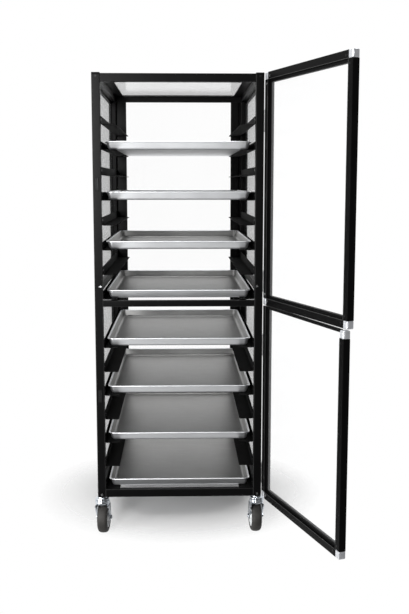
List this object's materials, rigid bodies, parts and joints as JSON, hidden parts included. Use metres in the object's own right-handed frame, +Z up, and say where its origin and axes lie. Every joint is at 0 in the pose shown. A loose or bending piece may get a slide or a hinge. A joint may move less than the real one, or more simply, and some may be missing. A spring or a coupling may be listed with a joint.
{
  "type": "mobile proofing cabinet",
  "caption": "Tall mobile pan cabinet with clear panels, L runners for full-size sheet pans and two hinged clear doors, one above the other.",
  "frame": {"origin": "on the floor below the middle of the frame", "axes": "+X to the right seen from the front, +Y to the back, +Z up"},
  "size_m": [0.7198, 1.2816, 1.453],
  "materials": {
    "black_frame": "satin black powder coat",
    "black_plastic": "moulded black",
    "clear_sheet": "clear polycarbonate sheet",
    "corner_casting": "bare casting, tumbled",
    "hinge_metal": "satin",
    "bright_screw": "bright plated",
    "pan_aluminium": "satin rolled sheet",
    "zinc_plate": "blue zinc plated",
    "hub_plastic": "moulded grey",
    "wheel_rubber": "moulded"
  },
  "bodies": {
    "cabinet": {"post_front_left": "black_frame", "post_front_right": "black_frame", "post_rear_left": "black_frame", "post_rear_right": "black_frame", "post_caps": "black_plastic", "front_top_rail": "black_frame", "front_mid_rail": "black_frame", "front_bottom_rail": "black_frame", "rear_rails": "black_frame", "side_rails": "black_frame", "top_panel": "clear_sheet", "bottom_panel": "clear_sheet", "deck_angles": "black_frame", "side_panel_left": "clear_sheet", "side_panel_right": "clear_sheet", "side_channels": "black_frame", "rear_panel_frame": "black_frame", "rear_panel": "clear_sheet", "runners_left": "black_frame", "runners_right": "black_frame", "frame_screws": "bright_screw", "catch_magnets": "black_plastic", "hinge_post_leaves": "hinge_metal", "hinge_pins": "bright_screw", "caster_stems": "zinc_plate"},
    "upper_door": {"upper_hinge_stile": "black_frame", "upper_free_stile": "black_frame", "upper_door_rails": "black_frame", "upper_door_corners": "corner_casting", "upper_door_panel": "clear_sheet", "upper_hinge_leaves": "hinge_metal", "upper_door_screws": "bright_screw"},
    "lower_door": {"lower_hinge_stile": "black_frame", "lower_free_stile": "black_frame", "lower_door_rails": "black_frame", "lower_door_corners": "corner_casting", "lower_door_panel": "clear_sheet", "lower_hinge_leaves": "hinge_metal", "lower_door_screws": "bright_screw"},
    "sheet_pan_1": {"pan_1": "pan_aluminium"},
    "sheet_pan_2": {"pan_2": "pan_aluminium"},
    "sheet_pan_3": {"pan_3": "pan_aluminium"},
    "sheet_pan_4": {"pan_4": "pan_aluminium"},
    "sheet_pan_5": {"pan_5": "pan_aluminium"},
    "sheet_pan_6": {"pan_6": "pan_aluminium"},
    "sheet_pan_7": {"pan_7": "pan_aluminium"},
    "sheet_pan_8": {"pan_8": "pan_aluminium"},
    "caster_front_left": {"fork_front_left": "zinc_plate"},
    "wheel_front_left": {"hub_front_left": "hub_plastic", "tyre_front_left": "wheel_rubber"},
    "caster_front_right": {"fork_front_right": "zinc_plate"},
    "wheel_front_right": {"hub_front_right": "hub_plastic", "tyre_front_right": "wheel_rubber"},
    "caster_rear_left": {"fork_rear_left": "zinc_plate"},
    "wheel_rear_left": {"hub_rear_left": "hub_plastic", "tyre_rear_left": "wheel_rubber"},
    "caster_rear_right": {"fork_rear_right": "zinc_plate"},
    "wheel_rear_right": {"hub_rear_right": "hub_plastic", "tyre_rear_right": "wheel_rubber"}
  },
  "joints": [
    {"name": "upper_door_hinge", "type": "hinge", "parent": "cabinet", "child": "upper_door", "pos_m": [0.2671, -0.362, 1.0716], "axis": [0, 0, 1], "range_deg": [-109, 71]},
    {"name": "lower_door_hinge", "type": "hinge", "parent": "cabinet", "child": "lower_door", "pos_m": [0.2671, -0.362, 0.462], "axis": [0, 0, 1], "range_deg": [-108, 72]},
    {"name": "pan_1_slide", "type": "slide", "parent": "cabinet", "child": "sheet_pan_1", "axis": [0, -1, 0], "range_m": [0, 0.7]},
    {"name": "pan_2_slide", "type": "slide", "parent": "cabinet", "child": "sheet_pan_2", "axis": [0, -1, 0], "range_m": [0, 0.7]},
    {"name": "pan_3_slide", "type": "slide", "parent": "cabinet", "child": "sheet_pan_3", "axis": [0, -1, 0], "range_m": [0, 0.7]},
    {"name": "pan_4_slide", "type": "slide", "parent": "cabinet", "child": "sheet_pan_4", "axis": [0, -1, 0], "range_m": [0, 0.7]},
    {"name": "pan_5_slide", "type": "slide", "parent": "cabinet", "child": "sheet_pan_5", "axis": [0, -1, 0], "range_m": [0, 0.7]},
    {"name": "pan_6_slide", "type": "slide", "parent": "cabinet", "child": "sheet_pan_6", "axis": [0, -1, 0], "range_m": [0, 0.7]},
    {"name": "pan_7_slide", "type": "slide", "parent": "cabinet", "child": "sheet_pan_7", "axis": [0, -1, 0], "range_m": [0, 0.7]},
    {"name": "pan_8_slide", "type": "slide", "parent": "cabinet", "child": "sheet_pan_8", "axis": [0, -1, 0], "range_m": [0, 0.7]},
    {"name": "swivel_front_left", "type": "hinge", "parent": "cabinet", "child": "caster_front_left", "pos_m": [-0.2478, -0.3363, 0.115], "axis": [0, 0, 1], "continuous": true},
    {"name": "roll_front_left", "type": "hinge", "parent": "caster_front_left", "child": "wheel_front_left", "pos_m": [-0.24536, -0.30841, 0.05], "axis": [0.9962, -0.0872, 0], "continuous": true},
    {"name": "swivel_front_right", "type": "hinge", "parent": "cabinet", "child": "caster_front_right", "pos_m": [0.2478, -0.3363, 0.115], "axis": [0, 0, 1], "continuous": true},
    {"name": "roll_front_right", "type": "hinge", "parent": "caster_front_right", "child": "wheel_front_right", "pos_m": [0.24536, -0.30841, 0.05], "axis": [0.9962, 0.0872, 0], "continuous": true},
    {"name": "swivel_rear_left", "type": "hinge", "parent": "cabinet", "child": "caster_rear_left", "pos_m": [-0.2478, 0.3363, 0.115], "axis": [0, 0, 1], "continuous": true},
    {"name": "roll_rear_left", "type": "hinge", "parent": "caster_rear_left", "child": "wheel_rear_left", "pos_m": [-0.24536, 0.36419, 0.05], "axis": [0.9962, -0.0872, 0], "continuous": true},
    {"name": "swivel_rear_right", "type": "hinge", "parent": "cabinet", "child": "caster_rear_right", "pos_m": [0.2478, 0.3363, 0.115], "axis": [0, 0, 1], "continuous": true},
    {"name": "roll_rear_right", "type": "hinge", "parent": "caster_rear_right", "child": "wheel_rear_right", "pos_m": [0.24536, 0.36419, 0.05], "axis": [0.9962, 0.0872, 0], "continuous": true}
  ]
}
